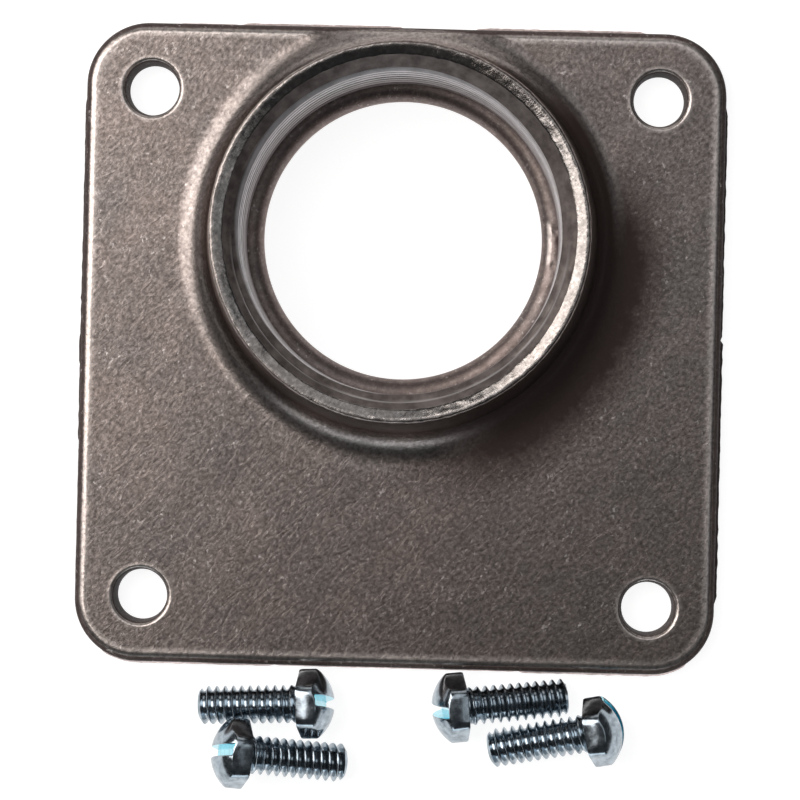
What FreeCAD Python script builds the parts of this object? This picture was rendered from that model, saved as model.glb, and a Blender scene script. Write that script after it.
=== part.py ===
import FreeCAD, Part
import math
import os

# Conduit hub: a one-piece casting that lies on its back, with its four mounting screws laid beside it.
# Millimetres, +Z up along the boss, +Y towards the plate edge that the boss stands nearest to.
# The origin is the centre of the four mounting holes, on the back face.

# Plate
plate_side = 80.4
plate_thickness = 4.0
plate_corner_radius = 8.0
plate_draft_deg = 3.0
plate_edge_round = 1.4

# Parting-line lip around the back edge of the plate
lip_width = 0.45
lip_thickness = 0.6

# Mounting holes: a straight land at the back, then a cored taper and a rounded front edge
hole_spacing = 63.5
hole_diameter = 6.35
hole_land = 1.2
hole_draft_deg = 5.0
hole_edge_round = 0.6

# Boss
boss_offset = 13.6
boss_height = 20.0
boss_top_radius = 22.9
boss_draft_deg = 6.0
boss_base_fillet = 4.0
rim_edge_round = 0.4

# Conduit bore, from the front: dished rim, lead-in chamfer, tapped wall, rounded stop, throat
thread_crest_diameter = 39.0
lead_in_width = 1.75
lead_in_depth = 1.65
rim_dish_width = 1.2
rim_dish_depth = 0.35
throat_diameter = 35.0
throat_land = 0.7
stop_round = 1.8

# Conduit thread: a right-hand V groove, eleven and a half turns to the inch, that deepens towards the rim
thread_pitch = 25.4 / 11.5
thread_taper_deg = 1.79
thread_start_depth = 0.5
thread_flank_deg = 30.0
thread_root_flat = 0.2
thread_start_height = 4.0

# Mounting screw: slotted hex head with a domed top
shank_diameter = 4.83
shank_length = 12.7
tip_chamfer = 0.5
head_across_flats = 7.94
head_across_corners = 8.7
head_side_height = 2.6
head_dome_height = 1.7
slot_width = 1.4
slot_depth = 1.7

# How the screws lie: where each tip touches the table, as a place along the plate's lower edge and a
# distance out from it, which way the head points from there, and how far the slot is turned from upright
screw_gap = 0.15
steepest_tilt_deg = 40.0
under_left_tip = (-23.4, 5.2)
under_left_heading_deg = 3.0
under_left_slot_deg = 13.0
under_right_tip = (21.4, 3.1)
under_right_heading_deg = 186.0
under_right_slot_deg = 4.0
over_left_tip = (-6.3, 12.0)
over_left_heading_deg = 174.0
over_left_slot_deg = -14.0
over_right_tip = (13.1, 9.6)
over_right_heading_deg = 12.0
over_right_slot_deg = 84.0

X_AXIS = FreeCAD.Vector(1, 0, 0)
Y_AXIS = FreeCAD.Vector(0, 1, 0)
Z_AXIS = FreeCAD.Vector(0, 0, 1)
ORIGIN = FreeCAD.Vector(0, 0, 0)
CUT_MARGIN = 1.0
THREAD_MARGIN = 0.9
TOUCH = 0.01

plate_lean = math.tan(math.radians(plate_draft_deg))
boss_lean = math.radians(boss_draft_deg)
boss_axis = FreeCAD.Vector(0, boss_offset, 0)
crest_radius = thread_crest_diameter / 2
throat_radius = throat_diameter / 2
shank_radius = shank_diameter / 2


def section_point(radius, height):
    return FreeCAD.Vector(radius, 0, height)


def arc(start, middle, end):
    return Part.Arc(start, middle, end).toShape()


def revolve(edges, place):
    """Turn a closed half section about Z and stand it on the given point."""
    solid = Part.Face(Part.Wire(edges)).revolve(ORIGIN, Z_AXIS, 360)
    solid.translate(place)
    return solid


def polyline(points):
    return [Part.LineSegment(a, b).toShape() for a, b in zip(points, points[1:])]


def rounded_square(side, corner, height):
    """A square wire with round corners, centred on the Z axis."""
    half = side / 2
    inner = half - corner
    bulge = inner + corner * math.sqrt(0.5)
    edges = []
    for quarter in range(4):
        line = Part.LineSegment(
            FreeCAD.Vector(half, -inner, height), FreeCAD.Vector(half, inner, height)).toShape()
        bend = arc(
            FreeCAD.Vector(half, inner, height),
            FreeCAD.Vector(bulge, bulge, height),
            FreeCAD.Vector(inner, half, height))
        for edge in (line, bend):
            edge.rotate(ORIGIN, Z_AXIS, 90 * quarter)
            edges.append(edge)
    return Part.Wire(Part.__sortEdges__(edges))


def drafted_block(height):
    """The plate's outline raised to a height, its sides leaning in with the draft."""
    lean = height * plate_lean
    base = rounded_square(plate_side, plate_corner_radius, 0)
    top = rounded_square(plate_side - 2 * lean, plate_corner_radius - lean, height)
    return Part.makeLoft([base, top], True, True)


def outline_distance(point):
    """How far a point lies outside the plate's drafted side."""
    lean = point.z * plate_lean
    corner = plate_corner_radius - lean
    inner = plate_side / 2 - plate_corner_radius
    over_x = abs(point.x) - inner
    over_y = abs(point.y) - inner
    outside = math.hypot(max(over_x, 0), max(over_y, 0))
    return outside + min(max(over_x, over_y), 0) - corner


def boss_blank():
    """The boss as a solid of revolution that flares into the plate through its base fillet."""
    fillet = boss_base_fillet
    centre_height = plate_thickness + fillet
    wall_gap = fillet - (centre_height - boss_height) * math.sin(boss_lean)
    flare_radius = boss_top_radius + wall_gap / math.cos(boss_lean)
    wall_turn = math.pi / 2 - boss_lean

    def on_fillet(angle):
        out = flare_radius - fillet * math.sin(angle)
        return section_point(out, centre_height - fillet * math.cos(angle))

    flare = on_fillet(0)
    wall_foot = on_fillet(wall_turn)
    edges = polyline([section_point(0, 0), section_point(flare_radius, 0), flare])
    edges.append(arc(flare, on_fillet(wall_turn / 2), wall_foot))
    edges += polyline([
        wall_foot,
        section_point(boss_top_radius, boss_height),
        section_point(0, boss_height),
        section_point(0, 0)])
    return revolve(edges, boss_axis)


def bore_cutter():
    """The space inside the boss, from the dished rim down to the throat."""
    stop_height = throat_land + stop_round
    lead_radius = crest_radius + lead_in_width
    lead_height = boss_height - rim_dish_depth
    round_centre = section_point(throat_radius + stop_round, throat_land)
    round_reach = stop_round * math.sqrt(0.5)
    round_start = section_point(throat_radius, throat_land)
    round_end = section_point(throat_radius + stop_round, stop_height)
    edges = polyline([section_point(0, -CUT_MARGIN), section_point(throat_radius, -CUT_MARGIN), round_start])
    edges.append(arc(round_start, round_centre + FreeCAD.Vector(-round_reach, 0, round_reach), round_end))
    edges += polyline([
        round_end,
        section_point(crest_radius, stop_height),
        section_point(crest_radius, lead_height - lead_in_depth),
        section_point(lead_radius, lead_height),
        section_point(lead_radius + rim_dish_width, boss_height),
        section_point(lead_radius + rim_dish_width, boss_height + CUT_MARGIN),
        section_point(0, boss_height + CUT_MARGIN),
        section_point(0, -CUT_MARGIN)])
    return revolve(edges, boss_axis)


def thread_cutter():
    """The groove of the conduit thread, from above the stop up and out through the lead-in."""
    inner = crest_radius - THREAD_MARGIN
    outer = crest_radius + thread_start_depth
    half_root = thread_root_flat / 2
    half_mouth = half_root + (outer - inner) * math.tan(math.radians(thread_flank_deg))
    groove = Part.Wire(polyline([
        section_point(inner, -half_mouth),
        section_point(outer, -half_root),
        section_point(outer, half_root),
        section_point(inner, half_mouth),
        section_point(inner, -half_mouth)]))
    rise = boss_height + CUT_MARGIN - thread_start_height
    path = Part.makeLongHelix(thread_pitch, rise, crest_radius, thread_taper_deg)
    cutter = Part.Wire(path.Edges).makePipeShell([groove], True, True)
    cutter.translate(boss_axis + Z_AXIS * thread_start_height)
    return cutter


def hole_cutter(place):
    """One mounting hole: land, taper and rounded front edge."""
    lean = math.radians(hole_draft_deg)
    land_radius = hole_diameter / 2
    mouth_radius = land_radius + (plate_thickness - hole_land) * math.tan(lean)
    setback = hole_edge_round * math.tan((math.pi / 2 - lean) / 2)
    centre = section_point(mouth_radius + setback, plate_thickness - hole_edge_round)
    wall_angle = math.pi / 2 - lean

    def on_round(angle):
        return centre + section_point(-hole_edge_round * math.sin(angle), hole_edge_round * math.cos(angle))

    edges = polyline([
        section_point(0, -CUT_MARGIN),
        section_point(land_radius, -CUT_MARGIN),
        section_point(land_radius, hole_land),
        on_round(wall_angle)])
    edges.append(arc(on_round(wall_angle), on_round(wall_angle / 2), on_round(0)))
    edges += polyline([
        on_round(0),
        section_point(mouth_radius + setback, plate_thickness + CUT_MARGIN),
        section_point(0, plate_thickness + CUT_MARGIN),
        section_point(0, -CUT_MARGIN)])
    return revolve(edges, place)


def hub_body():
    """The casting: plate, lip and boss, with the bore and the mounting holes cut through."""
    block = drafted_block(plate_thickness)
    boss = boss_blank().common(drafted_block(boss_height))
    body = block.fuse(boss).removeSplitter()
    front_edges = []
    for edge in body.Edges:
        middle = edge.valueAt((edge.FirstParameter + edge.LastParameter) / 2)
        if middle.z > plate_thickness - TOUCH and abs(outline_distance(middle)) < TOUCH:
            front_edges.append(edge)
    body = body.makeFillet(plate_edge_round, front_edges)
    rim_edges = []
    for edge in body.Edges:
        middle = edge.valueAt((edge.FirstParameter + edge.LastParameter) / 2)
        from_axis = math.hypot(middle.x, middle.y - boss_offset)
        if middle.z > boss_height - TOUCH and from_axis > boss_top_radius - TOUCH:
            rim_edges.append(edge)
    body = body.makeFillet(rim_edge_round, rim_edges)
    lip_outline = rounded_square(plate_side + 2 * lip_width, plate_corner_radius + lip_width, 0)
    lip = Part.Face(lip_outline).extrude(Z_AXIS * lip_thickness)
    body = body.fuse(lip).cut(bore_cutter()).cut(thread_cutter())
    for side_x in (-1, 1):
        for side_y in (-1, 1):
            place = FreeCAD.Vector(side_x * hole_spacing / 2, side_y * hole_spacing / 2, 0)
            body = body.cut(hole_cutter(place))
    return body.removeSplitter()


def mounting_screw(slot_deg):
    """A screw along +X: the head's seat at zero, the head behind it and the tip ahead."""
    head_height = head_side_height + head_dome_height
    corner_reach = head_across_flats / math.sqrt(3)
    corners = []
    for step in range(7):
        angle = math.radians(60 * step)
        corners.append(FreeCAD.Vector(0, corner_reach * math.cos(angle), corner_reach * math.sin(angle)))
    head = Part.Face(Part.makePolygon(corners)).extrude(-X_AXIS * head_height)
    head = head.common(Part.makeCylinder(head_across_corners / 2, head_height, ORIGIN, -X_AXIS))
    rim = head_across_flats / 2
    dome_radius = (rim ** 2 + head_dome_height ** 2) / (2 * head_dome_height)
    head = head.common(Part.makeSphere(dome_radius, X_AXIS * (dome_radius - head_height)))
    slot = Part.makeBox(slot_depth, slot_width, 2 * head_across_corners)
    slot.translate(FreeCAD.Vector(-head_height, -slot_width / 2, -head_across_corners))
    slot.rotate(ORIGIN, X_AXIS, slot_deg)
    shank = Part.makeCylinder(shank_radius, shank_length - tip_chamfer, ORIGIN, X_AXIS)
    tip = Part.makeCone(
        shank_radius, shank_radius - tip_chamfer, tip_chamfer, X_AXIS * (shank_length - tip_chamfer), X_AXIS)
    return head.cut(slot).fuse([shank, tip]).removeSplitter()


def laid(screw, tip, heading_deg, tilt_deg):
    """The screw with its tip on the table below the plate, its head up by a tilt and towards a heading."""
    along, out = tip
    tilt = math.radians(tilt_deg)
    reach = shank_length - tip_chamfer
    placed = screw.copy()
    placed.translate(-X_AXIS * reach)
    placed.rotate(ORIGIN, Y_AXIS, tilt_deg)
    placed.rotate(ORIGIN, Z_AXIS, heading_deg + 180)
    placed.translate(FreeCAD.Vector(along, -plate_side / 2 - out, shank_radius * math.cos(tilt)))
    return placed


def laid_flat(screw, tip, heading_deg):
    """A screw that rests on its tip and on one flat of its head."""
    rise = head_across_flats / 2 - shank_radius
    tilt = math.degrees(math.atan2(rise, shank_length - tip_chamfer))
    return laid(screw, tip, heading_deg, tilt)


def laid_over(screw, tip, heading_deg, support):
    """A screw that leans on another one: the lowest tilt that keeps the gap between the two."""
    low = 0.0
    high = steepest_tilt_deg
    while high - low > TOUCH:
        tilt = (low + high) / 2
        gap = laid(screw, tip, heading_deg, tilt).distToShape(support)[0]
        if gap < screw_gap:
            low = tilt
        else:
            high = tilt
    return laid(screw, tip, heading_deg, high)


os.makedirs("parts", exist_ok=True)

hub_body().exportStep("parts/hub_body.step")

under_left = laid_flat(mounting_screw(under_left_slot_deg), under_left_tip, under_left_heading_deg)
under_right = laid_flat(mounting_screw(under_right_slot_deg), under_right_tip, under_right_heading_deg)
over_left = laid_over(
    mounting_screw(over_left_slot_deg), over_left_tip, over_left_heading_deg, under_left)
over_right = laid_over(
    mounting_screw(over_right_slot_deg), over_right_tip, over_right_heading_deg, under_right)
screws = [over_left, under_left, under_right, over_right]
Part.makeCompound(screws).exportStep("parts/mounting_screws.step")
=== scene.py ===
import math

import bmesh
import bpy
import numpy as np
from mathutils import Matrix, Vector, noise
from mathutils.geometry import delaunay_2d_cdt


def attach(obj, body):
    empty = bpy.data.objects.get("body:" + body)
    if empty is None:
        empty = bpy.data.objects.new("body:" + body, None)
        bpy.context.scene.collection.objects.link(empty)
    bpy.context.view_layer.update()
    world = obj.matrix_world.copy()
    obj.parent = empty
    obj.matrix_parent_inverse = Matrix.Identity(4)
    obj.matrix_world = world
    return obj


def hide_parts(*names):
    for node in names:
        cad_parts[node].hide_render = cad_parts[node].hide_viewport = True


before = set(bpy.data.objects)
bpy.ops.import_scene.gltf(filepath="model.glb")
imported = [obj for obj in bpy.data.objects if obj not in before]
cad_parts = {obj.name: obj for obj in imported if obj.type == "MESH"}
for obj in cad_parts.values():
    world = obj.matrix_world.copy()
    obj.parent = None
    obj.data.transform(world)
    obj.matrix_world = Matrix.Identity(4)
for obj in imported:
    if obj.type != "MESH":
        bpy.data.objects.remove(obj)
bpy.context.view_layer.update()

# Every length below is in millimetres and becomes metres as a mesh is made
MM = 0.001
TURN = 2 * math.pi

# Plate
PLATE_HALF = 40.2
PLATE_THICKNESS = 4.0
PLATE_CORNER = 8.0
PLATE_DRAFT = math.radians(3.0)
EDGE_ROUND = 1.4

# Parting-line lip: its profile, and shares of its widest for plain and least
LIP_WIDEST = 0.44
LIP_THICKNESS = 0.6
LIP_CREST = 0.2
LIP_CREST_DROP = 0.04
LIP_SLOPE = 0.9
LIP_PLAIN = 0.15
LIP_LEAST = 0.05

# Flash left on the lip: side, from, to, and share of the widest lip
FLASH = (
    ("bottom", -37.0, -15.0, 0.63),
    ("bottom", -15.0, 15.7, 0.4),
    ("bottom", 15.7, 37.0, 0.7),
    ("top", -29.0, -21.0, 0.5),
    ("top", -21.0, -0.5, 0.95),
    ("top", 8.5, 30.0, 0.95),
    ("left", -31.0, -13.0, 0.4),
    ("left", -13.0, 31.0, 0.65),
    ("left", -3.0, 1.0, 1.0),
    ("left", 4.6, 6.2, 1.0),
    ("right", -31.0, 2.0, 0.85),
    ("right", 2.0, 31.0, 0.7),
)
FLASH_RAMP = 0.5
FLASH_RAGGED = 0.35
FLASH_RAGGED_SCALE = 0.9
FLASH_RAGGED_PLANE = 3.0

# How squarely a point of the outline faces the side that it belongs to
FACING = 0.7

# Mounting holes
HOLE_SPACING = 63.5
HOLE_RADIUS = 3.175
HOLE_LAND = 1.2
HOLE_DRAFT = math.radians(5.0)
HOLE_ROUND = 0.6

# Boss and bore
BOSS_OFFSET = 13.6
BOSS_HEIGHT = 20.0
BOSS_RADIUS = 22.9
BOSS_DRAFT = math.radians(6.0)
BOSS_FILLET = 4.0
RIM_ROUND = 0.4
RIM_ROUND_END = math.radians(82.5)
CREST_RADIUS = 19.5
LEAD_RADIUS = 21.25
LEAD_HEIGHT = 19.65
LEAD_DEPTH = 1.65
DISH_WIDTH = 1.2
DISH_DEPTH = 0.35
THROAT_RADIUS = 17.5
THROAT_LAND = 0.7
STOP_ROUND = 1.8

# Conduit thread
BORE_PITCH = 25.4 / 11.5
BORE_THREAD_TAPER = math.radians(1.79)
BORE_THREAD_DEPTH = 0.5
BORE_THREAD_FLANK = math.radians(30.0)
BORE_THREAD_ROOT = 0.2
BORE_THREAD_START = 4.0
BORE_THREAD_FADE = 0.25

# Scored line around the lower side of the lead-in, and how fast it fades in there
SCORE_HEIGHT = 18.66
SCORE_HALF = 0.2
SCORE_DEPTH = 0.16
LOW_SIDE_RAMP = 2

# How finely the casting's skin is divided
SIDE_COLUMNS = 130
CORNER_COLUMNS = 22
HOLE_COLUMNS = 64
BOSS_COLUMNS = 360
EDGE_ROWS = 12
FILLET_ROWS = 12
HOLE_ROWS = 9
HOLE_SKIN_ROWS = 5
WALL_ROWS = 26
RIM_ROWS = 8
STOP_ROWS = 17
BORE_ROWS_PER_TURN = 16
BORE_LAST_ROW = 0.12
FIELD_STEP = 0.62
FIELD_CLEAR = 0.3
HOLE_APRON = 0.35
HOLE_CLEAR = 0.6
WELD = 0.002
HUB_SHARP_DEG = 38

# How the plane patches are triangulated: inside their loops only, with each round gap taken a little smaller
INSIDE_ONLY = 1
PLANE_CLOSE = 1e-6
GAP_SLACK = 9

# Margins by which points are told to lie on one surface and not on the next
MARGIN = 0.1
FINE_MARGIN = 0.01

# Wear of the rim: the zone that it takes, how ragged it is and how far it is worn down
RIM_ZONE_DEPTH = 0.3
RIM_ZONE_WIDTH = 0.4
RIM_COARSE = 0.07
RIM_COARSE_SCALE = 1.1
RIM_FINE = 0.04
RIM_FINE_SCALE = 3.1
RIM_SINK = 0.01
RIM_SINK_WAVE = 0.06
RIM_SINK_SCALE = 0.8

# Unevenness of the plate's skin and of the boss's wall
SKIN_SINK = 0.02
SKIN_LONG_WAVE = 0.02
SKIN_LONG_SCALE = 0.17
SKIN_SHORT_WAVE = 0.006
SKIN_SHORT_SCALE = 0.6
WALL_WAVE = 0.03
WALL_SCALE = 0.25

# Chip on the right of the conduit stop: its zone, its depth, and the painted highlight line along it
CHIP_ZONE_HEIGHT = 0.7
CHIP_ZONE_HALF = 3.2
CHIP_DEPTH = 0.25
CHIP_SCALE = 1.3
CHIP_REACH = 18.4
CHIP_HALF = 3.0
CHIP_PEAK = 1.4
CHIP_FALL = 4
CHIP_HIGHLIGHT = 2

# Where a rounded edge turns so steep that it isn't rubbed or given painted sheen any more, and takes the side
# metal with its painted shade, as a share of its radius
STEEP = 0.55

# How the rubbed edges, with their painted sheen, start, brighten and end
EDGE_WEAR_AND_SHEEN_START = 0.35
EDGE_WEAR_AND_SHEEN_RISE = 0.4
EDGE_WEAR_AND_SHEEN_END = 8
HOLE_WEAR_AND_SHEEN_START = 0.1
HOLE_WEAR_AND_SHEEN_DEPTH = 0.32

# How bright the painted highlights on the fillet, on the plate below the boss's foot and on the left of the
# rim are, and how far they reach
FILLET_HIGHLIGHT = 0.4
FOOT_HIGHLIGHT = 0.25
FOOT_HIGHLIGHT_REACH = 2
FOOT_HIGHLIGHT_START = 0.75
FOOT_HIGHLIGHT_RAMP = 0.2
FOOT_HIGHLIGHT_RIGHT = 2
FOOT_HIGHLIGHT_FADE = 4
RIM_HIGHLIGHT = 0.4
RIM_HIGHLIGHT_MIDDLE = 0.3
RIM_HIGHLIGHT_LEFT = 1.5

# Painted highlight line at the upper edge of the score
SCORE_HIGHLIGHT_SHIFT = 0.6
SCORE_HIGHLIGHT_PEAK = 1.6
SCORE_HIGHLIGHT_HALF = 0.1
SCORE_HIGHLIGHT_INSET = 0.3

# Painted shade around the boss's foot: how far it reaches over the plate, and the ways in which it lies
FOOT_SHADE_REACH = 6.5
FOOT_SHADE_PLATE_WAY = (0.848, -0.53)
FOOT_SHADE_PLATE_START = 0.58
FOOT_SHADE_PLATE_RAMP = 0.3
FOOT_SHADE_FILLET_WAY = (0.985, -0.174)
FOOT_SHADE_FILLET_START = 0.3
FOOT_SHADE_FILLET_RAMP = 0.4

# Screws, with the inset and the place of each row around the head's seat and around its dome's edge
SHANK_RADIUS = 2.415
SHANK_LENGTH = 12.7
TIP_CHAMFER = 0.5
SCREW_PITCH = 25.4 / 24
SCREW_THREAD_DEPTH = 0.62
SCREW_THREAD_CREST = 0.06
SCREW_THREAD_FLANK = 0.32
SCREW_THREAD_START = 0.3
SCREW_THREAD_RISE = 1.4
SCREW_THREAD_LEAST = 0.35
SCREW_ROWS_PER_TURN = 10
SCREW_COLUMNS = 72
SCREW_SHARP_DEG = 32
NECK_RADIUS = 2.1
NECK_LENGTH = 0.35
NECK_SLOPE = 0.5
HEAD_HALF_FLATS = 3.97
HEAD_HALF_CORNERS = 4.35
HEAD_SIDE = 2.6
HEAD_DOME = 1.7
HEAD_BRIM = 0.12
HEAD_SEAT = ((0.3, 0.0), (0.06, -0.08), (0.0, -0.3))
HEAD_EDGE = ((0.0, 0.1), (0.04, -0.01))
HEAD_RINGS = (0.93, 0.84, 0.72, 0.58, 0.44, 0.3, 0.16)

# Screw slot, its worn edges, and the lines of points along each edge
SLOT_WIDTH = 1.4
SLOT_DEPTH = 1.7
SLOT_WALL = 0.06
SLOT_WEAR_DEPTH = 0.1
SLOT_WEAR_WIDTH = 0.12
SLOT_LINES = (-0.06, 0.0, 0.04, 0.12)
SLOT_LINE_STEP = 0.2
SLOT_CLEAR_OUT = 0.2
SLOT_CLEAR_IN = -0.15

# How each screw lies: tip place along and below the plate's lower edge, heading, tilt, slot turn
FLAT_TILT = 7.264
SCREW_LAYS = (
    (-6.3, 12.0, 174.0, 17.51, -14.0),
    (-23.4, 5.2, 3.0, FLAT_TILT, 13.0),
    (21.4, 3.1, 186.0, FLAT_TILT, 4.0),
    (13.1, 9.6, 12.0, 11.51, 84.0),
)

# Dark and light tone of each cast metal
SKIN_TONES = ((0.1, 0.085, 0.079), (0.315, 0.278, 0.262))
RIM_TONES = ((0.17, 0.159, 0.15), (0.4, 0.379, 0.364))
STOP_TONES = ((0.16, 0.132, 0.124), (0.27, 0.23, 0.217))
# The side metal's dark tones are painted shade, for the steep edges, sides and hole walls
SHADED_SIDE_TONES = ((0.06, 0.045, 0.042), (0.12, 0.094, 0.088))
# The lip metal's pale tones are painted light, for the upper and lower lips
LIT_LIP_TONES = ((0.55, 0.45, 0.43), (0.85, 0.74, 0.72))

# Colours laid over the cast metals and the tapped wall (nicks, painted shade at the boss's foot, rubbed edges
# with painted highlights, the painted highlight on the score), and the tint of the cast metals' shine
NICK_COLOUR = (0.62, 0.57, 0.55, 1)
FOOT_SHADE_COLOUR = (0.058, 0.04, 0.036, 1)
RUBBED_AND_HIGHLIGHT_COLOUR = (0.57, 0.515, 0.485, 1)
SCORE_HIGHLIGHT_COLOUR = (0.6, 0.57, 0.56, 1)
SHINE_TINT = (0.9, 0.82, 0.8, 1)

# How the cast grain and the nicks run across the plate, in radians
GRAIN_TURN = -0.75
NICK_TURNS = (-0.5, 0.3)

# How far below the lead-in its dark tone reaches
LEAD_SHADE = 0.2

# Floor: its half width in metres, and how far it lies below the hub
FLOOR_REACH = 4.0
FLOOR_DROP = 0.05

# Camera
CAMERA_PLACE = (8.07, -6.30, 370.0)
CAMERA_AIM = (0.12, -6.50, 0.0)
CAMERA_UP = (-0.0247, 0.9997, 0.0)
CAMERA_ANGLE_DEG = 15.54

# Which metal a face of the hub shows; the side metal is painted shade and the lip metal painted light
CAST, THREADED, RIM, STOP, SHADED_SIDE, LIT_LIP = range(6)

# Which plating a face of a screw shows; the slot's plating is a painted cyan reflection
PLATED, SLOT_PAINTED_REFLECTION = range(2)

# Section values that follow from the sizes above
plate_lean = math.tan(PLATE_DRAFT)
plate_inner = PLATE_HALF - PLATE_CORNER
edge_height = PLATE_THICKNESS - EDGE_ROUND
edge_inset = edge_height * plate_lean + EDGE_ROUND / math.cos(PLATE_DRAFT)
fillet_height = PLATE_THICKNESS + BOSS_FILLET
fillet_turn = math.pi / 2 - BOSS_DRAFT
fillet_gap = BOSS_FILLET + (BOSS_HEIGHT - fillet_height) * math.sin(BOSS_DRAFT)
flare_radius = BOSS_RADIUS + fillet_gap / math.cos(BOSS_DRAFT)
foot_radius = flare_radius - BOSS_FILLET * math.sin(fillet_turn)
foot_height = fillet_height - BOSS_FILLET * math.cos(fillet_turn)
lead_low = LEAD_HEIGHT - LEAD_DEPTH
stop_top = THROAT_LAND + STOP_ROUND
hole_mouth = HOLE_RADIUS + (PLATE_THICKNESS - HOLE_LAND) * math.tan(HOLE_DRAFT)
hole_turn = math.pi / 2 - HOLE_DRAFT
hole_rim = hole_mouth + HOLE_ROUND * math.tan(hole_turn / 2)
head_height = HEAD_SIDE + HEAD_DOME
dome_radius = (HEAD_HALF_FLATS ** 2 + HEAD_DOME ** 2) / (2 * HEAD_DOME)
hole_places = [(x * HOLE_SPACING / 2, y * HOLE_SPACING / 2) for x in (-1, 1) for y in (-1, 1)]


class Shell:
    """A skin gathered patch by patch and welded into one closed mesh."""

    def __init__(self):
        self.points = []
        self.faces = []
        self.kinds = []
        self.total = 0

    def add(self, points, faces, kind=0):
        self.points.append(points)
        self.faces += (np.asarray(faces) + self.total).tolist()
        self.kinds += np.broadcast_to(kind, len(faces)).tolist()
        self.total += len(points)

    def grid(self, rows, kind=0):
        """Four-sided faces between equal rows of points, of one kind or of a kind for each column."""
        points = np.stack(rows)
        count, columns = points.shape[:2]
        index = np.arange(count * columns).reshape(count, columns)
        corners = (index[:-1, :-1], index[:-1, 1:], index[1:, 1:], index[1:, :-1])
        kinds = np.broadcast_to(kind, (count - 1, columns - 1)).ravel()
        self.add(points.reshape(-1, 3), np.stack(corners, -1).reshape(-1, 4), kinds)

    def build(self, name, materials, sharp_deg):
        """The welded mesh as an object, its faces turned outwards."""
        mesh = bpy.data.meshes.new(name)
        mesh.from_pydata((np.concatenate(self.points) * MM).tolist(), [], self.faces)
        for material in materials:
            mesh.materials.append(material)
        mesh.polygons.foreach_set("material_index", self.kinds)
        skin = bmesh.new()
        skin.from_mesh(mesh)
        bmesh.ops.remove_doubles(skin, verts=skin.verts, dist=WELD * MM)
        bmesh.ops.recalc_face_normals(skin, faces=skin.faces)
        skin.to_mesh(mesh)
        skin.free()
        mesh.shade_smooth()
        mesh.set_sharp_from_angle(angle=math.radians(sharp_deg))
        piece = bpy.data.objects.new(name, mesh)
        bpy.context.scene.collection.objects.link(piece)
        return piece


def unit(values):
    return np.clip(values, 0, 1)


def triangles(points, loops, gaps=()):
    """Plane points joined into triangles inside their loops, with round gaps left open."""
    edges = []
    for start, count in loops:
        edges += [(start + step, start + (step + 1) % count) for step in range(count)]
    plane = [Vector(point) for point in points]
    found, _, faces, *_ = delaunay_2d_cdt(plane, edges, [], INSIDE_ONLY, PLANE_CLOSE)
    found = np.array(found)
    faces = np.array(faces)
    middle = found[faces].mean(axis=1)
    for centre, radius, columns in gaps:
        chord = radius * (1 - GAP_SLACK / columns ** 2)
        outside = np.hypot(*(middle - centre).T) > chord
        faces = faces[outside]
        middle = middle[outside]
    return found, faces


def stacked(points, height):
    return np.column_stack([points, np.broadcast_to(height, len(points))])


def ring(radius, height, columns, centre=(0.0, BOSS_OFFSET)):
    """A closed row of points around an upright axis."""
    angle = np.arange(columns + 1) % columns * TURN / columns
    x = centre[0] + radius * np.cos(angle)
    y = centre[1] + radius * np.sin(angle)
    return np.column_stack([x, y, np.broadcast_to(height, len(x))])


def plate_outline():
    """Points around the plate's back outline, with the way out from each."""
    points = []
    ways = []
    for quarter in range(4):
        turn = quarter * TURN / 4
        spin = np.array([[math.cos(turn), math.sin(turn)], [-math.sin(turn), math.cos(turn)]])
        for step in np.linspace(-plate_inner, plate_inner, SIDE_COLUMNS, endpoint=False):
            points.append(np.array([PLATE_HALF, step]) @ spin)
            ways.append(np.array([1.0, 0.0]) @ spin)
        for bend in np.linspace(0, TURN / 4, CORNER_COLUMNS, endpoint=False):
            way = np.array([math.cos(bend), math.sin(bend)])
            points.append((plate_inner + PLATE_CORNER * way) @ spin)
            ways.append(way @ spin)
    return np.array(points), np.array(ways)


outline, outline_way = plate_outline()


def outline_row(inset, height):
    """The plate's outline moved in by an inset, as a closed row."""
    points = outline - outline_way * np.reshape(np.broadcast_to(inset, len(outline)), (-1, 1))
    row = stacked(points, height)
    return np.concatenate([row, row[:1]])


def plate_inset(points):
    """How far points lie inside the plate's back outline."""
    over = np.abs(points) - plate_inner
    outside = np.hypot(np.maximum(over[:, 0], 0), np.maximum(over[:, 1], 0))
    return PLATE_CORNER - outside - np.minimum(over.max(axis=1), 0)


def skin_height(points):
    """The casting's upper skin: flat plate, rounded front edge and the boss's base fillet."""
    reach = np.hypot(points[:, 0], points[:, 1] - BOSS_OFFSET)
    flare = np.clip(flare_radius - reach, 0, flare_radius - foot_radius)
    run = np.clip(edge_inset - plate_inset(points), 0, EDGE_ROUND * math.cos(PLATE_DRAFT))
    rise = BOSS_FILLET - np.sqrt(BOSS_FILLET ** 2 - flare ** 2)
    return PLATE_THICKNESS + rise - EDGE_ROUND + np.sqrt(EDGE_ROUND ** 2 - run ** 2)


def lip_width():
    """How far the lip stands out, point by point around the outline."""
    share = np.full(len(outline), LIP_PLAIN)
    sides = {"right": (0, 1, 1), "top": (1, 1, 0), "left": (0, -1, 1), "bottom": (1, -1, 0)}
    for side, start, end, amount in FLASH:
        across, sign, along = sides[side]
        facing = outline_way[:, across] * sign > FACING
        place = outline[:, along]
        ramp = unit(np.minimum(place - start, end - place) / FLASH_RAMP)
        share = np.where(facing, np.maximum(share, amount * ramp), share)
    ragged = []
    for x, y in outline:
        place = Vector((x * FLASH_RAGGED_SCALE, y * FLASH_RAGGED_SCALE, FLASH_RAGGED_PLANE))
        ragged.append(noise.noise(place))
    return LIP_WIDEST * np.clip(share * (1 + FLASH_RAGGED * np.array(ragged)), LIP_LEAST, 1)


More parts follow.
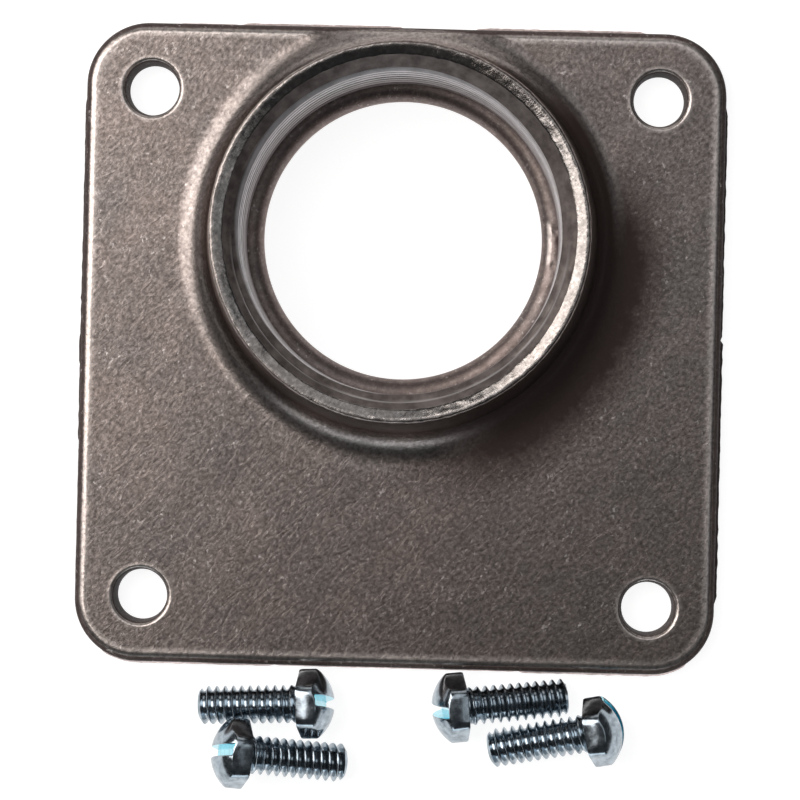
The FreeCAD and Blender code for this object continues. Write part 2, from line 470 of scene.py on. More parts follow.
def upper_skin(shell):
    """The plate's front with its rounded edge and the base fillet, around the boss and holes."""
    parts = []
    loops = []

    def put(points, closed=False):
        if closed:
            loops.append((sum(len(part) for part in parts), len(points)))
        parts.append(points)

    for turn in np.linspace(PLATE_DRAFT, math.pi / 2, EDGE_ROWS):
        put(outline_row(edge_inset - EDGE_ROUND * math.cos(turn), 0)[:-1, :2], turn == PLATE_DRAFT)
    put(ring(foot_radius, 0, BOSS_COLUMNS)[:-1, :2], True)
    for turn in np.linspace(0, fillet_turn, FILLET_ROWS)[:-1]:
        circle = ring(flare_radius - BOSS_FILLET * math.sin(turn), 0, BOSS_COLUMNS)[:-1, :2]
        put(circle[plate_inset(circle) > edge_inset + FIELD_CLEAR])
    for place in hole_places:
        put(ring(hole_rim, 0, HOLE_COLUMNS, place)[:-1, :2], True)
        put(ring(hole_rim + HOLE_APRON, 0, HOLE_COLUMNS, place)[:-1, :2])
    field = []
    for count, y in enumerate(np.arange(-PLATE_HALF, PLATE_HALF, FIELD_STEP * math.sqrt(0.75))):
        x = np.arange(-PLATE_HALF, PLATE_HALF, FIELD_STEP) + count % 2 * FIELD_STEP / 2
        field.append(np.column_stack([x, np.full(len(x), y)]))
    field = np.concatenate(field)
    clear = plate_inset(field) > edge_inset + FIELD_CLEAR
    clear &= np.hypot(field[:, 0], field[:, 1] - BOSS_OFFSET) > flare_radius + FIELD_CLEAR
    for x, y in hole_places:
        clear &= np.hypot(field[:, 0] - x, field[:, 1] - y) > hole_rim + HOLE_CLEAR
    put(field[clear])
    gaps = [((0.0, BOSS_OFFSET), foot_radius, BOSS_COLUMNS)]
    gaps += [(place, hole_rim, HOLE_COLUMNS) for place in hole_places]
    points, faces = triangles(np.concatenate(parts), loops, gaps)
    run = edge_inset - plate_inset(points[faces].mean(axis=1))
    # The steep part of the rounded edge takes the side metal, whose dark tones are painted shade
    kinds = np.where(run > STEEP * EDGE_ROUND, SHADED_SIDE, CAST)
    shell.add(np.column_stack([points, skin_height(points)]), faces, kinds)


def plate_sides(shell, width):
    """The drafted sides and the lip, down to the back face."""
    inset = edge_inset - EDGE_ROUND * math.cos(PLATE_DRAFT)
    top = skin_height(outline_row(inset, 0)[:, :2])[:-1]
    rows = [outline_row(inset, top)]
    for share in (0.25, 0.5, 0.75, 1.0):
        height = top + share * (LIP_THICKNESS - top)
        rows.append(outline_row(height * plate_lean, height))
    # The drafted sides take the side metal, whose dark tones are painted shade
    shell.grid(rows, SHADED_SIDE)
    crest = LIP_THICKNESS - LIP_CREST_DROP
    lip = rows[-1:]
    lip.append(outline_row(-LIP_CREST * width, crest))
    lip.append(outline_row(-width, crest - LIP_SLOPE * width))
    lip.append(outline_row(-width, 0.0))
    # The upper and lower runs of the lip take pale painted light, its left and right runs the painted shade
    # of the side metal
    shell.grid(lip, np.where(np.abs(outline_way[:, 1]) > FACING, LIT_LIP, SHADED_SIDE))


def back_skin(shell, width):
    """The flat back face around the throat and the holes."""
    parts = [outline_row(-width, 0)[:-1, :2], ring(THROAT_RADIUS, 0, BOSS_COLUMNS)[:-1, :2]]
    parts += [ring(HOLE_RADIUS, 0, HOLE_COLUMNS, place)[:-1, :2] for place in hole_places]
    loops = []
    start = 0
    for part in parts:
        loops.append((start, len(part)))
        start += len(part)
    gaps = [((0.0, BOSS_OFFSET), THROAT_RADIUS, BOSS_COLUMNS)]
    gaps += [(place, HOLE_RADIUS, HOLE_COLUMNS) for place in hole_places]
    points, faces = triangles(np.concatenate(parts), loops, gaps)
    shell.add(stacked(points, 0), faces)


def hole_walls(shell):
    """The rounded edge, taper and land of each mounting hole."""
    for place in hole_places:
        rows = []
        for turn in np.linspace(0, hole_turn, HOLE_ROWS):
            radius = hole_rim - HOLE_ROUND * math.sin(turn)
            height = PLATE_THICKNESS - HOLE_ROUND * (1 - math.cos(turn))
            rows.append(ring(radius, height, HOLE_COLUMNS, place))
        shell.grid(rows[:HOLE_SKIN_ROWS])
        rows = rows[HOLE_SKIN_ROWS - 1:]
        rows.append(ring(HOLE_RADIUS, HOLE_LAND, HOLE_COLUMNS, place))
        rows.append(ring(HOLE_RADIUS, 0, HOLE_COLUMNS, place))
        # The hole's taper and land take the side metal, whose dark tones are painted shade
        shell.grid(rows, SHADED_SIDE)


def boss_outside(shell):
    """The boss's drafted wall, rounded rim and the dish inside the rim."""
    round_height = BOSS_HEIGHT - RIM_ROUND
    round_radius = BOSS_RADIUS + RIM_ROUND * math.tan(BOSS_DRAFT) - RIM_ROUND / math.cos(BOSS_DRAFT)
    wall_top = round_height + RIM_ROUND * math.sin(BOSS_DRAFT)
    rows = []
    for height in np.linspace(foot_height, wall_top, WALL_ROWS):
        radius = BOSS_RADIUS + (BOSS_HEIGHT - height) * math.tan(BOSS_DRAFT)
        rows.append(ring(radius, height, BOSS_COLUMNS))
    for turn in np.linspace(BOSS_DRAFT, RIM_ROUND_END, RIM_ROWS)[1:]:
        radius = round_radius + RIM_ROUND * math.cos(turn)
        rows.append(ring(radius, round_height + RIM_ROUND * math.sin(turn), BOSS_COLUMNS))
    shell.grid(rows)
    rows = rows[-1:]
    for share in (0.2, 0.4, 0.6, 0.8, 1.0):
        radius = LEAD_RADIUS + DISH_WIDTH * (1 - share)
        rows.append(ring(radius, LEAD_HEIGHT + DISH_DEPTH * (1 - share), BOSS_COLUMNS))
    shell.grid(rows, RIM)


def bore_radius(angle, height):
    """The tapped bore: a lead-in cone, scored on its lower side, and a right-hand thread below it."""
    cone = LEAD_RADIUS - (LEAD_HEIGHT - height) * (LEAD_RADIUS - CREST_RADIUS) / LEAD_DEPTH
    score = SCORE_DEPTH * unit(1 - np.abs(height - SCORE_HEIGHT) / SCORE_HALF)
    cone = cone + score * unit(-LOW_SIDE_RAMP * np.sin(angle))
    turns = (height - BORE_THREAD_START) / BORE_PITCH - angle / TURN
    nearest = np.round(turns)
    from_root = np.abs(turns - nearest) * BORE_PITCH - BORE_THREAD_ROOT / 2
    fade = unit((nearest + angle / TURN) / BORE_THREAD_FADE)
    depth = BORE_THREAD_DEPTH + (height - BORE_THREAD_START) * math.tan(BORE_THREAD_TAPER)
    groove = np.clip(depth - from_root / math.tan(BORE_THREAD_FLANK), 0, depth)
    return np.maximum(np.maximum(cone, CREST_RADIUS), CREST_RADIUS + groove * fade)


def bore_inside(shell):
    """The threaded wall, whose rows climb with the thread, then the stop and the throat."""
    angle = np.arange(BOSS_COLUMNS + 1) * TURN / BOSS_COLUMNS
    step = BORE_PITCH / BORE_ROWS_PER_TURN
    rows = []
    for start in np.arange(stop_top - BORE_PITCH, LEAD_HEIGHT + BORE_LAST_ROW, step):
        height = np.clip(start + BORE_PITCH * angle / TURN, stop_top, LEAD_HEIGHT)
        radius = bore_radius(angle, height)
        x = radius * np.cos(angle)
        y = BOSS_OFFSET + radius * np.sin(angle)
        rows.append(np.column_stack([x, y, height]))
    shell.grid(rows, THREADED)
    rows = [ring(CREST_RADIUS, stop_top, BOSS_COLUMNS)]
    for turn in np.linspace(math.pi / 2, 0, STOP_ROWS):
        radius = THROAT_RADIUS + STOP_ROUND * (1 - math.cos(turn))
        rows.append(ring(radius, THROAT_LAND + STOP_ROUND * math.sin(turn), BOSS_COLUMNS))
    rows.append(ring(THROAT_RADIUS, 0, BOSS_COLUMNS))
    shell.grid(rows, STOP)


def hub_wear(point):
    """How far a point of the casting strays: a ragged rim, a chipped stop and a gently uneven skin."""
    reach = math.hypot(point.x, point.y - BOSS_OFFSET)
    outward = Vector((point.x, point.y - BOSS_OFFSET, 0)).normalized()
    if point.z > LEAD_HEIGHT - RIM_ZONE_DEPTH and reach > LEAD_RADIUS - RIM_ZONE_WIDTH:
        coarse = RIM_COARSE * noise.noise(point * RIM_COARSE_SCALE)
        fine = RIM_FINE * noise.noise(point * RIM_FINE_SCALE)
        sink = RIM_SINK + RIM_SINK_WAVE * abs(noise.noise(point * RIM_SINK_SCALE))
        return outward * (coarse + fine) - Vector((0, 0, sink))
    if point.z > PLATE_THICKNESS - FINE_MARGIN and reach > foot_radius + MARGIN:
        long_wave = SKIN_LONG_WAVE * noise.noise(point * SKIN_LONG_SCALE)
        short_wave = SKIN_SHORT_WAVE * noise.noise(point * SKIN_SHORT_SCALE)
        return Vector((0, 0, -SKIN_SINK - long_wave - short_wave))
    if point.z > PLATE_THICKNESS and reach > LEAD_RADIUS:
        return outward * (WALL_WAVE * noise.noise(point * WALL_SCALE) - WALL_WAVE)
    along_chip = point.x > 0 and abs(point.y - BOSS_OFFSET) < CHIP_ZONE_HALF
    if along_chip and abs(point.z - stop_top) < CHIP_ZONE_HEIGHT:
        return Vector((0, 0, -CHIP_DEPTH * max(noise.noise(point * CHIP_SCALE), 0)))
    return Vector()


def edge_wear_and_highlight(points):
    """How far the metal is rubbed bright or painted with highlights: rubbed wear with a painted sheen along
    edges, and painted highlights on the fillet, below the boss's foot, on the rim, along the score and along
    the chip.
    """
    x, y, height = points.T
    reach = np.hypot(x, y - BOSS_OFFSET)
    run = edge_inset - plate_inset(points[:, :2])
    # Rubbed wear with a painted sheen along the plate's rounded front edge
    start = unit((run + EDGE_WEAR_AND_SHEEN_START) / (EDGE_WEAR_AND_SHEEN_RISE * EDGE_ROUND))
    front = start * unit(EDGE_WEAR_AND_SHEEN_END * (STEEP - run / EDGE_ROUND))
    wear_and_highlight = np.where((height > edge_height) & (reach > flare_radius), front, 0)
    # Rubbed wear with a painted sheen around the holes' mouths
    for hole_x, hole_y in hole_places:
        from_hole = np.hypot(x - hole_x, y - hole_y)
        mouth = unit((hole_rim + HOLE_WEAR_AND_SHEEN_START - from_hole) / (EDGE_WEAR_AND_SHEEN_RISE * HOLE_ROUND))
        shallow = height > PLATE_THICKNESS - HOLE_WEAR_AND_SHEEN_DEPTH * HOLE_ROUND
        wear_and_highlight = np.maximum(wear_and_highlight, np.where(shallow, mouth, 0))
    # Painted highlight across the fillet
    across = unit((flare_radius - reach) / (flare_radius - foot_radius))
    flank = (height > PLATE_THICKNESS - MARGIN) & (height < fillet_height) & (reach > foot_radius)
    wear_and_highlight = np.where(flank, np.maximum(wear_and_highlight, FILLET_HIGHLIGHT * np.sin(math.pi * across)), wear_and_highlight)
    # Painted highlight on the plate below the boss's foot, fading out to the right
    below = BOSS_OFFSET - y - FOOT_HIGHLIGHT_START * reach
    below = unit(below / (FOOT_HIGHLIGHT_RAMP * reach + MARGIN))
    foot = below * unit((FOOT_HIGHLIGHT_RIGHT - x) / FOOT_HIGHLIGHT_FADE)
    foot = foot * unit(1 - (reach - flare_radius) / FOOT_HIGHLIGHT_REACH)
    wear_and_highlight = np.where(reach > flare_radius, np.maximum(wear_and_highlight, FOOT_HIGHLIGHT * foot), wear_and_highlight)
    # Painted highlight on the rim's outer edge, strongest on its left
    rim = (height > BOSS_HEIGHT - RIM_ROUND) & (reach > LEAD_RADIUS + DISH_WIDTH)
    wear_and_highlight = np.where(rim, RIM_HIGHLIGHT * unit(RIM_HIGHLIGHT_MIDDLE - RIM_HIGHLIGHT_LEFT * x / reach), wear_and_highlight)
    # Painted highlight line along the upper edge of the score, on the bore's lower side
    low_side = unit(LOW_SIDE_RAMP * (BOSS_OFFSET - y) / reach)
    from_line = np.abs(height - SCORE_HEIGHT - SCORE_HIGHLIGHT_SHIFT * SCORE_HALF)
    score = low_side * unit(SCORE_HIGHLIGHT_PEAK - from_line / SCORE_HIGHLIGHT_HALF)
    lead_in = (reach < LEAD_RADIUS - SCORE_HIGHLIGHT_INSET) & (height > lead_low)
    wear_and_highlight = np.where(lead_in, score, wear_and_highlight)
    # Painted highlight line along the chip on the stop's right
    along_chip = unit(CHIP_HALF - np.abs(y - BOSS_OFFSET))
    chip = unit(CHIP_PEAK - CHIP_FALL * np.abs(reach - CHIP_REACH)) * along_chip
    return np.where((reach < CREST_RADIUS) & (x > 0), CHIP_HIGHLIGHT * chip, wear_and_highlight)


def foot_painted_shade(points):
    """Painted shade on the plate around the boss's foot, darkest at its lower right."""
    out = points[:, :2] - np.array([0.0, BOSS_OFFSET])
    reach = np.hypot(out[:, 0], out[:, 1])

    def towards(way):
        return (way[0] * out[:, 0] + way[1] * out[:, 1]) / np.maximum(reach, MARGIN)

    plate = unit((towards(FOOT_SHADE_PLATE_WAY) - FOOT_SHADE_PLATE_START) / FOOT_SHADE_PLATE_RAMP)
    plate = plate * unit(1 - (reach - flare_radius) / FOOT_SHADE_REACH)
    fillet = unit((towards(FOOT_SHADE_FILLET_WAY) - FOOT_SHADE_FILLET_START) / FOOT_SHADE_FILLET_RAMP)
    fillet = fillet * unit(flare_radius - 1 - reach)
    outside = (reach > foot_radius + MARGIN) & (points[:, 2] < fillet_height)
    return np.where(outside, np.maximum(plate, fillet), 0)


def hub_shape(materials):
    """The casting as one closed mesh."""
    shell = Shell()
    width = lip_width()
    upper_skin(shell)
    plate_sides(shell, width)
    back_skin(shell, width)
    hole_walls(shell)
    boss_outside(shell)
    bore_inside(shell)
    piece = shell.build("hub", materials, HUB_SHARP_DEG)
    mesh = piece.data
    flat = np.empty(3 * len(mesh.vertices))
    mesh.vertices.foreach_get("co", flat)
    points = flat.reshape(-1, 3) / MM
    # Painted shade around the boss's foot, which also hides the rubbed wear and painted highlights there
    painted_shade = foot_painted_shade(points)
    for name, value in (("wear_and_highlight", edge_wear_and_highlight(points) * (1 - painted_shade)), ("painted_shade", painted_shade)):
        mesh.attributes.new(name, "FLOAT", "POINT").data.foreach_set("value", value)
    moved = [hub_wear(Vector(point)) for point in points]
    mesh.vertices.foreach_set("co", ((points + np.array(moved)) * MM).ravel())
    mesh.update()
    return piece


def head_reach(angle):
    """The hex head's outline, its corners rounded off."""
    off_flat = angle % (TURN / 6) - TURN / 12
    return np.minimum(HEAD_HALF_FLATS / np.cos(off_flat), HEAD_HALF_CORNERS)


def dome_height(reach):
    return head_height - dome_radius + np.sqrt(dome_radius ** 2 - reach ** 2)


def head_top(points, slot_turn):
    """The domed top with its slot, as heights over the head's cross section."""
    dome = dome_height(np.hypot(points[:, 0], points[:, 1]))
    from_slot = np.abs(points[:, 0] * math.cos(slot_turn) + points[:, 1] * math.sin(slot_turn))
    across = from_slot - SLOT_WIDTH / 2
    worn = dome - SLOT_WEAR_DEPTH * unit(1 - across / SLOT_WEAR_WIDTH) ** 2
    into = unit(-across / SLOT_WALL)
    floor = np.minimum(dome, head_height - SLOT_DEPTH)
    return worn + into * (floor - worn)


def around(radius, along):
    """A closed row of points around the screw's axis."""
    angle = np.arange(SCREW_COLUMNS + 1) % SCREW_COLUMNS * TURN / SCREW_COLUMNS
    reach = np.broadcast_to(radius, len(angle))
    along = np.broadcast_to(along, len(angle))
    return np.column_stack([along, reach * np.cos(angle), reach * np.sin(angle)])


def screw_head(shell, slot_turn):
    """The hex head from its seat over its flats to the slotted dome."""
    angle = np.arange(SCREW_COLUMNS + 1) % SCREW_COLUMNS * TURN / SCREW_COLUMNS
    reach = head_reach(angle)
    brim = reach - HEAD_BRIM
    turned = np.column_stack([np.cos(angle), np.sin(angle)])
    top = head_top(turned * brim[:, None], slot_turn)
    edge = -dome_height(reach)
    rows = [around(NECK_RADIUS, 0.0)]
    rows += [around(reach - inset, place) for inset, place in HEAD_SEAT]
    rows.append(around(reach, edge / 2))
    rows += [around(reach - inset, edge + place) for inset, place in HEAD_EDGE]
    rows.append(around(brim, -top))
    shell.grid(rows)
    brim_points = (turned * brim[:, None])[:-1]
    parts = [brim_points]
    inner = np.concatenate([brim_points * share for share in HEAD_RINGS])
    along = np.array([-math.sin(slot_turn), math.cos(slot_turn)])
    across = np.array([math.cos(slot_turn), math.sin(slot_turn)])
    near = np.abs(inner @ across) - SLOT_WIDTH / 2
    parts.append(inner[(near > SLOT_CLEAR_OUT) | (near < SLOT_CLEAR_IN)])
    for offset in SLOT_LINES:
        for side in (-1, 1):
            for place in np.arange(-HEAD_HALF_CORNERS, HEAD_HALF_CORNERS, SLOT_LINE_STEP):
                point = along * place + across * side * (SLOT_WIDTH / 2 + offset)
                if np.hypot(*point) < head_reach(math.atan2(point[1], point[0]) % TURN) - SLOT_CLEAR_OUT:
                    parts.append(point[None, :])
    points, faces = triangles(np.concatenate(parts), [(0, SCREW_COLUMNS)])
    middle = points[faces].mean(axis=1)
    in_slot = np.abs(middle @ across) < SLOT_WIDTH / 2
    place = np.column_stack([-head_top(points, slot_turn), points])
    shell.add(place, faces[~in_slot], PLATED)
    shell.add(place, faces[in_slot], SLOT_PAINTED_REFLECTION)


def screw_radius(angle, along):
    """The shank's right-hand thread, with a neck under the head and a chamfered tip."""
    phase = (along / SCREW_PITCH - angle / TURN) % 1.0
    from_crest = np.abs(phase - 0.5)
    start = np.clip((along - SCREW_THREAD_START) / SCREW_THREAD_RISE, SCREW_THREAD_LEAST, 1)
    depth = SCREW_THREAD_DEPTH * start
    thread = SHANK_RADIUS - depth * unit((from_crest - SCREW_THREAD_CREST) / SCREW_THREAD_FLANK)
    neck = NECK_RADIUS + unit((along - NECK_LENGTH) / NECK_SLOPE)
    tip = SHANK_RADIUS - TIP_CHAMFER + SHANK_LENGTH - along
    return np.minimum(np.minimum(thread, neck), tip)


def screw_shank(shell):
    """Rows that climb with the thread from the seat to the tip."""
    angle = np.arange(SCREW_COLUMNS + 1) * TURN / SCREW_COLUMNS
    step = SCREW_PITCH / SCREW_ROWS_PER_TURN
    count = int(SHANK_LENGTH / step) + SCREW_ROWS_PER_TURN + 3
    rows = []
    for row in range(count):
        along = np.clip(row * step + SCREW_PITCH * (angle / TURN - 1), 0, SHANK_LENGTH)
        radius = screw_radius(angle, along)
        rows.append(np.column_stack([along, radius * np.cos(angle), radius * np.sin(angle)]))
    rows.append(around(0.0, SHANK_LENGTH))
    shell.grid(rows)


def screw_shape(number, lay, materials):
    """One screw, laid in its place beside the plate."""
    along, out, heading, tilt, slot_turn = lay
    shell = Shell()
    screw_head(shell, math.radians(slot_turn))
    screw_shank(shell)
    piece = shell.build(f"mounting_screw_{number}", materials, SCREW_SHARP_DEG)
    rise = SHANK_RADIUS * math.cos(math.radians(tilt))
    place = Matrix.Translation(Vector((along, -PLATE_HALF - out, rise)) * MM)
    place @= Matrix.Rotation(math.radians(heading + 180), 4, "Z")
    place @= Matrix.Rotation(math.radians(tilt), 4, "Y")
    place @= Matrix.Translation(Vector((TIP_CHAMFER - SHANK_LENGTH, 0, 0)) * MM)
    piece.data.transform(place)
    return piece


class Paint:
    """A material whose nodes are added one call at a time."""

    def __init__(self, name):
        self.material = bpy.data.materials.new(name)
        self.material.use_nodes = True
        self.tree = self.material.node_tree
        self.tree.nodes.clear()
        self.output = self.tree.nodes.new("ShaderNodeOutputMaterial")

    def node(self, kind, inputs=None, **settings):
        made = self.tree.nodes.new("ShaderNode" + kind)
        for key, value in settings.items():
            setattr(made, key, value)
        for key, value in (inputs or {}).items():
            if isinstance(value, bpy.types.NodeSocket):
                self.tree.links.new(value, made.inputs[key])
            else:
                made.inputs[key].default_value = value
        return made

    def finish(self, shader):
        self.tree.links.new(shader.outputs[0], self.output.inputs["Surface"])
        return self.material

    def millimetres(self, stretch=(1, 1, 1), turn=0.0):
        """Object coordinates in millimetres, turned about Z and then stretched."""
        place = self.node("TexCoord").outputs["Object"]
        size = [MM / part for part in stretch]
        inputs = {"Vector": place, "Scale": size, "Rotation": (0, 0, turn)}
        return self.node("Mapping", inputs, vector_type="TEXTURE").outputs["Vector"]

    def painted(self, name):
        """A value that the mesh carries point by point."""
        return self.node("Attribute", attribute_name=name).outputs["Fac"]

    def speckle(self, vector, scale, detail, roughness=0.6, curl=0.0):
        inputs = {
            "Vector": vector, "Scale": scale, "Detail": detail, "Roughness": roughness,
            "Distortion": curl}
        return self.node("TexNoise", inputs).outputs["Fac"]

    def ramp(self, value, stops):
        """A colour ramp from (place, colour) stops."""
        made = self.node("ValToRGB", {"Fac": value})
        points = made.color_ramp.elements
        while len(points) < len(stops):
            points.new(0.5)
        for point, (place, colour) in zip(points, stops):
            point.position = place
            point.color = (*colour, 1)
        return made.outputs["Color"]

    def spread(self, value, old, new):
        """A value moved from an old range to a new one."""
        inputs = {
            "Value": value, "From Min": old[0], "From Max": old[1], "To Min": new[0], "To Max": new[1]}
        return self.node("MapRange", inputs).outputs["Result"]

    def times(self, first, second, clamp=False):
        return self.node("Math", {0: first, 1: second}, operation="MULTIPLY", use_clamp=clamp).outputs[0]

    def greater(self, first, second):
        return self.node("Math", {0: first, 1: second}, operation="MAXIMUM").outputs[0]

    def blend(self, share, first, second, kind="MIX"):
        inputs = {0: share, 6: first, 7: second}
        return self.node("Mix", inputs, data_type="RGBA", blend_type=kind).outputs[2]


def cast_metal(name, tones, rough, bump_strength, metal=1.0, specular=0.1, foot_shaded=False):
    """Die-cast skin between a dark and a light tone: grainy and mottled, rubbed bright and given painted
    highlights along its edges, with painted shade at the boss's foot where asked.
    """
    paint = Paint(name)
    place = paint.millimetres()
    cloud = paint.speckle(place, scale=0.13, detail=3)
    mottle = paint.speckle(place, scale=0.7, detail=3)
    grain = paint.speckle(paint.millimetres((1.0, 0.8, 1.0), GRAIN_TURN), scale=2.3, detail=3, roughness=0.65)
    flow_place = paint.millimetres((1.0, 0.45, 1.0), GRAIN_TURN)
    flow = paint.speckle(flow_place, scale=0.8, detail=4, roughness=0.7, curl=0.9)
    dark, light = tones
    middle = [0.6 * a + 0.4 * b for a, b in zip(dark, light)]
    colour = paint.ramp(grain, [(0.28, dark), (0.5, middle), (0.72, light)])
    shade = paint.ramp(mottle, [(0.3, (0.85, 0.84, 0.83)), (0.7, (1.12, 1.12, 1.12))])
    colour = paint.blend(1.0, colour, shade, "MULTIPLY")
    shade = paint.ramp(cloud, [(0.3, (0.86, 0.87, 0.88)), (0.7, (1.08, 1.04, 1.02))])
    colour = paint.blend(1.0, colour, shade, "MULTIPLY")
    clusters = paint.spread(paint.speckle(place, scale=0.2, detail=2), (0.42, 0.6), (0.15, 1))
    for turn in NICK_TURNS:
        nicks = paint.speckle(paint.millimetres((1.0, 0.65, 1.0), turn), scale=1.7, detail=2)
        nicks = paint.ramp(nicks, [(0.64, (0, 0, 0)), (0.76, (0.75, 0.75, 0.75))])
        colour = paint.blend(paint.times(nicks, clusters), colour, NICK_COLOUR)
    # Painted shade at the boss's foot, less metallic where it is darkest
    if foot_shaded:
        patchy = paint.spread(mottle, (0.35, 0.65), (0.88, 1.2))
        painted_shade = paint.times(paint.painted("painted_shade"), patchy, clamp=True)
        colour = paint.blend(paint.spread(painted_shade, (0, 0.8), (0, 0.97)), colour, FOOT_SHADE_COLOUR)
        metal = paint.spread(painted_shade, (0.3, 0.8), (metal, 0.1 * metal))
    # Rubbed wear and painted highlights, as strong as the mesh's value says
    rubbed_and_highlight = paint.times(paint.painted("wear_and_highlight"), paint.spread(grain, (0.3, 0.6), (0.4, 1)))
    colour = paint.blend(rubbed_and_highlight, colour, RUBBED_AND_HIGHLIGHT_COLOUR)
    shine = paint.spread(mottle, (0.3, 0.7), (rough + 0.03, rough - 0.03))
    fine = paint.node("Bump", {"Strength": bump_strength, "Distance": 0.00006, "Height": grain})
    bump = paint.node("Bump", {
        "Strength": bump_strength, "Distance": 0.00012, "Height": flow, "Normal": fine.outputs["Normal"]})
    shader = paint.node("BsdfPrincipled", {
        "Base Color": colour, "Metallic": metal, "Roughness": shine, "Normal": bump.outputs["Normal"],
        "Specular IOR Level": specular, "Specular Tint": SHINE_TINT})
    return paint.finish(shader)


def threaded_metal():
    """The tapped wall, light and neutral but with painted shade darkening it towards the stop, and the dark
    lead-in above it.
    """
    paint = Paint("threaded_metal")
    lines = paint.speckle(paint.millimetres((0.15, 0.15, 4.0)), scale=1.2, detail=4, roughness=0.7)
    stain = paint.speckle(paint.millimetres(), scale=0.5, detail=4)
    light = paint.ramp(stain, [(0.3, (0.56, 0.535, 0.54)), (0.7, (0.78, 0.748, 0.757))])
    dark = paint.ramp(stain, [(0.35, (0.12, 0.101, 0.094)), (0.65, (0.26, 0.227, 0.213))])
    height = paint.node("SeparateXYZ", {"Vector": paint.millimetres()}).outputs["Z"]
    # Painted shade: the wall grows darker from the lead-in down to the stop, deep in the bore
    climb = paint.spread(height, (stop_top, lead_low), (0, 1))
    shade = paint.ramp(climb, [(0.0, (0.32, 0.28, 0.27)), (0.75, (1, 1, 1))])
    light = paint.blend(1.0, light, shade, "MULTIPLY")
    lead_in = paint.spread(height, (lead_low - LEAD_SHADE, lead_low), (0, 1))
    colour = paint.blend(lead_in, light, dark)
    # Painted highlight line along the score
    colour = paint.blend(paint.painted("wear_and_highlight"), colour, SCORE_HIGHLIGHT_COLOUR)
    metal = paint.spread(lead_in, (0, 1), (1, 0.82))
    bump = paint.node("Bump", {"Strength": 0.3, "Distance": 0.0001, "Height": lines})
    shader = paint.node("BsdfPrincipled", {
        "Base Color": colour, "Metallic": metal, "Roughness": 0.6, "Normal": bump.outputs["Normal"]})
    return paint.finish(shader)


def zinc_plate(name, light, dark):
    """Bright zinc plating with faint clouding."""
    paint = Paint(name)
    cloud = paint.speckle(paint.millimetres(), scale=1.1, detail=4)
    colour = paint.ramp(cloud, [(0.3, dark), (0.7, light)])
    rough = paint.spread(cloud, (0.3, 0.7), (0.14, 0.22))
    bump = paint.node("Bump", {"Strength": 0.15, "Distance": 0.00005, "Height": cloud})
    shader = paint.node("BsdfPrincipled", {
        "Base Color": colour, "Metallic": 1.0, "Roughness": rough, "Normal": bump.outputs["Normal"]})
    return paint.finish(shader)


def floor_paint():
    """A plain white floor that keeps a faint shadow, and that metal shows white too."""
    paint = Paint("floor_white")
    path = paint.node("LightPath").outputs
    seen = paint.greater(path["Is Camera Ray"], path["Is Glossy Ray"])
    seen = paint.greater(seen, path["Is Transmission Ray"])
    matt = paint.node("BsdfDiffuse", {"Color": (0.3, 0.3, 0.3, 1)}).outputs[0]
    glow = paint.node("Emission", {"Color": (1, 1, 1, 1), "Strength": 0.9}).outputs[0]
    lit = paint.node("AddShader", {0: matt, 1: glow}).outputs[0]
    return paint.finish(paint.node("MixShader", {0: seen, 1: matt, 2: lit}))


def soft_lamp(name, lean_deg, side_deg, away, size, energy, colour):
    """A rectangular lamp that faces the origin, leaning from overhead towards a side, in metres."""
    lamp = bpy.data.lights.new(name, "AREA")
    lamp.shape = "RECTANGLE"
    lamp.size, lamp.size_y = size
    lamp.energy = energy
    lamp.color = colour
    stand = bpy.data.objects.new(name, lamp)
    lean = math.radians(lean_deg)
    side = math.radians(side_deg)
    way = Vector((math.sin(lean) * math.cos(side), math.sin(lean) * math.sin(side), math.cos(lean)))
    tangent = Vector((-math.sin(side), math.cos(side), 0.0))
    stand.matrix_world = Matrix((tangent, way.cross(tangent), way)).transposed().to_4x4()
    stand.location = way * away
    bpy.context.scene.collection.objects.link(stand)


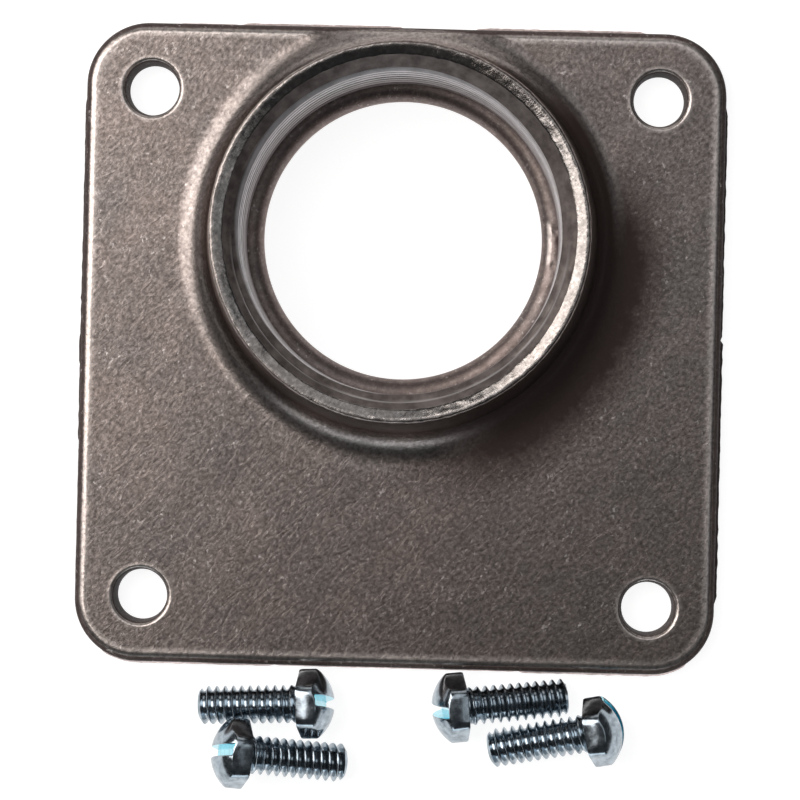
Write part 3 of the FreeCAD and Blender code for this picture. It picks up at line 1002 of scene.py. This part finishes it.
def studio():
    """Floor, soft light from the upper left, a dim surround and the camera."""
    scene = bpy.context.scene
    mesh = bpy.data.meshes.new("floor")
    low = -FLOOR_DROP * MM
    corners = [(x * FLOOR_REACH, y * FLOOR_REACH, low) for x, y in ((-1, -1), (1, -1), (1, 1), (-1, 1))]
    mesh.from_pydata(corners, [], [(0, 1, 2, 3)])
    mesh.materials.append(floor_paint())
    floor = bpy.data.objects.new("floor", mesh)
    scene.collection.objects.link(floor)

    soft_lamp("softbox", lean_deg=38, side_deg=159, away=0.9, size=(0.62, 0.9), energy=6.7,
              colour=(1.0, 0.95, 0.92))
    soft_lamp("low_card", lean_deg=80, side_deg=-95, away=0.6, size=(0.7, 0.16), energy=0.66,
              colour=(0.88, 0.95, 1.0))
    soft_lamp("overhead_card", lean_deg=22, side_deg=70, away=0.9, size=(0.5, 0.66), energy=0.72,
              colour=(0.97, 0.98, 1.0))
    soft_lamp("right_card", lean_deg=31, side_deg=0, away=0.9, size=(0.35, 0.35), energy=0.22,
              colour=(0.95, 0.98, 1.0))
    soft_lamp("back_card", lean_deg=68, side_deg=90, away=0.9, size=(0.8, 0.45), energy=0.8,
              colour=(1.0, 0.96, 0.94))

    world = bpy.data.worlds.new("surround")
    world.use_nodes = True
    surround = world.node_tree.nodes["Background"].inputs
    surround["Color"].default_value = (0.9, 0.95, 1.0, 1)
    surround["Strength"].default_value = 0.05
    scene.world = world

    lens = bpy.data.cameras.new("camera")
    lens.angle = math.radians(CAMERA_ANGLE_DEG)
    lens.clip_start = 0.01
    camera = bpy.data.objects.new("camera", lens)
    stand = Vector(CAMERA_PLACE) * MM
    back = (stand - Vector(CAMERA_AIM) * MM).normalized()
    right = Vector(CAMERA_UP).cross(back).normalized()
    up = back.cross(right)
    camera.matrix_world = Matrix((right, up, back)).transposed().to_4x4()
    camera.location = stand
    scene.collection.objects.link(camera)
    scene.camera = camera
    scene.view_settings.view_transform = "Standard"


# One metal for each kind of face, in the order of the kinds
hub = hub_shape([
    cast_metal("cast_skin", SKIN_TONES, rough=0.32, bump_strength=0.3, foot_shaded=True),
    threaded_metal(),
    cast_metal("worn_rim", RIM_TONES, rough=0.19, bump_strength=0.3),
    cast_metal("cast_stop", STOP_TONES, rough=0.45, bump_strength=0.2),
    cast_metal("cast_side_painted_shade", SHADED_SIDE_TONES, rough=0.6, bump_strength=0.3, metal=0.0, specular=0.12),
    cast_metal("flash_painted_light", LIT_LIP_TONES, rough=0.4, bump_strength=0.3)])
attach(hub, "root")
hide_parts("hub_body")

plating = [
    zinc_plate("zinc_bright", light=(0.46, 0.53, 0.585), dark=(0.22, 0.255, 0.285)),
    # The slot's brighter cyan plating is a painted reflection
    zinc_plate("zinc_slot_painted_reflection", light=(0.34, 0.82, 0.95), dark=(0.18, 0.55, 0.65))]
for number, lay in enumerate(SCREW_LAYS, 1):
    screw = screw_shape(number, lay, plating)
    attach(screw, "root")
    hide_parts("mounting_screws")

studio()
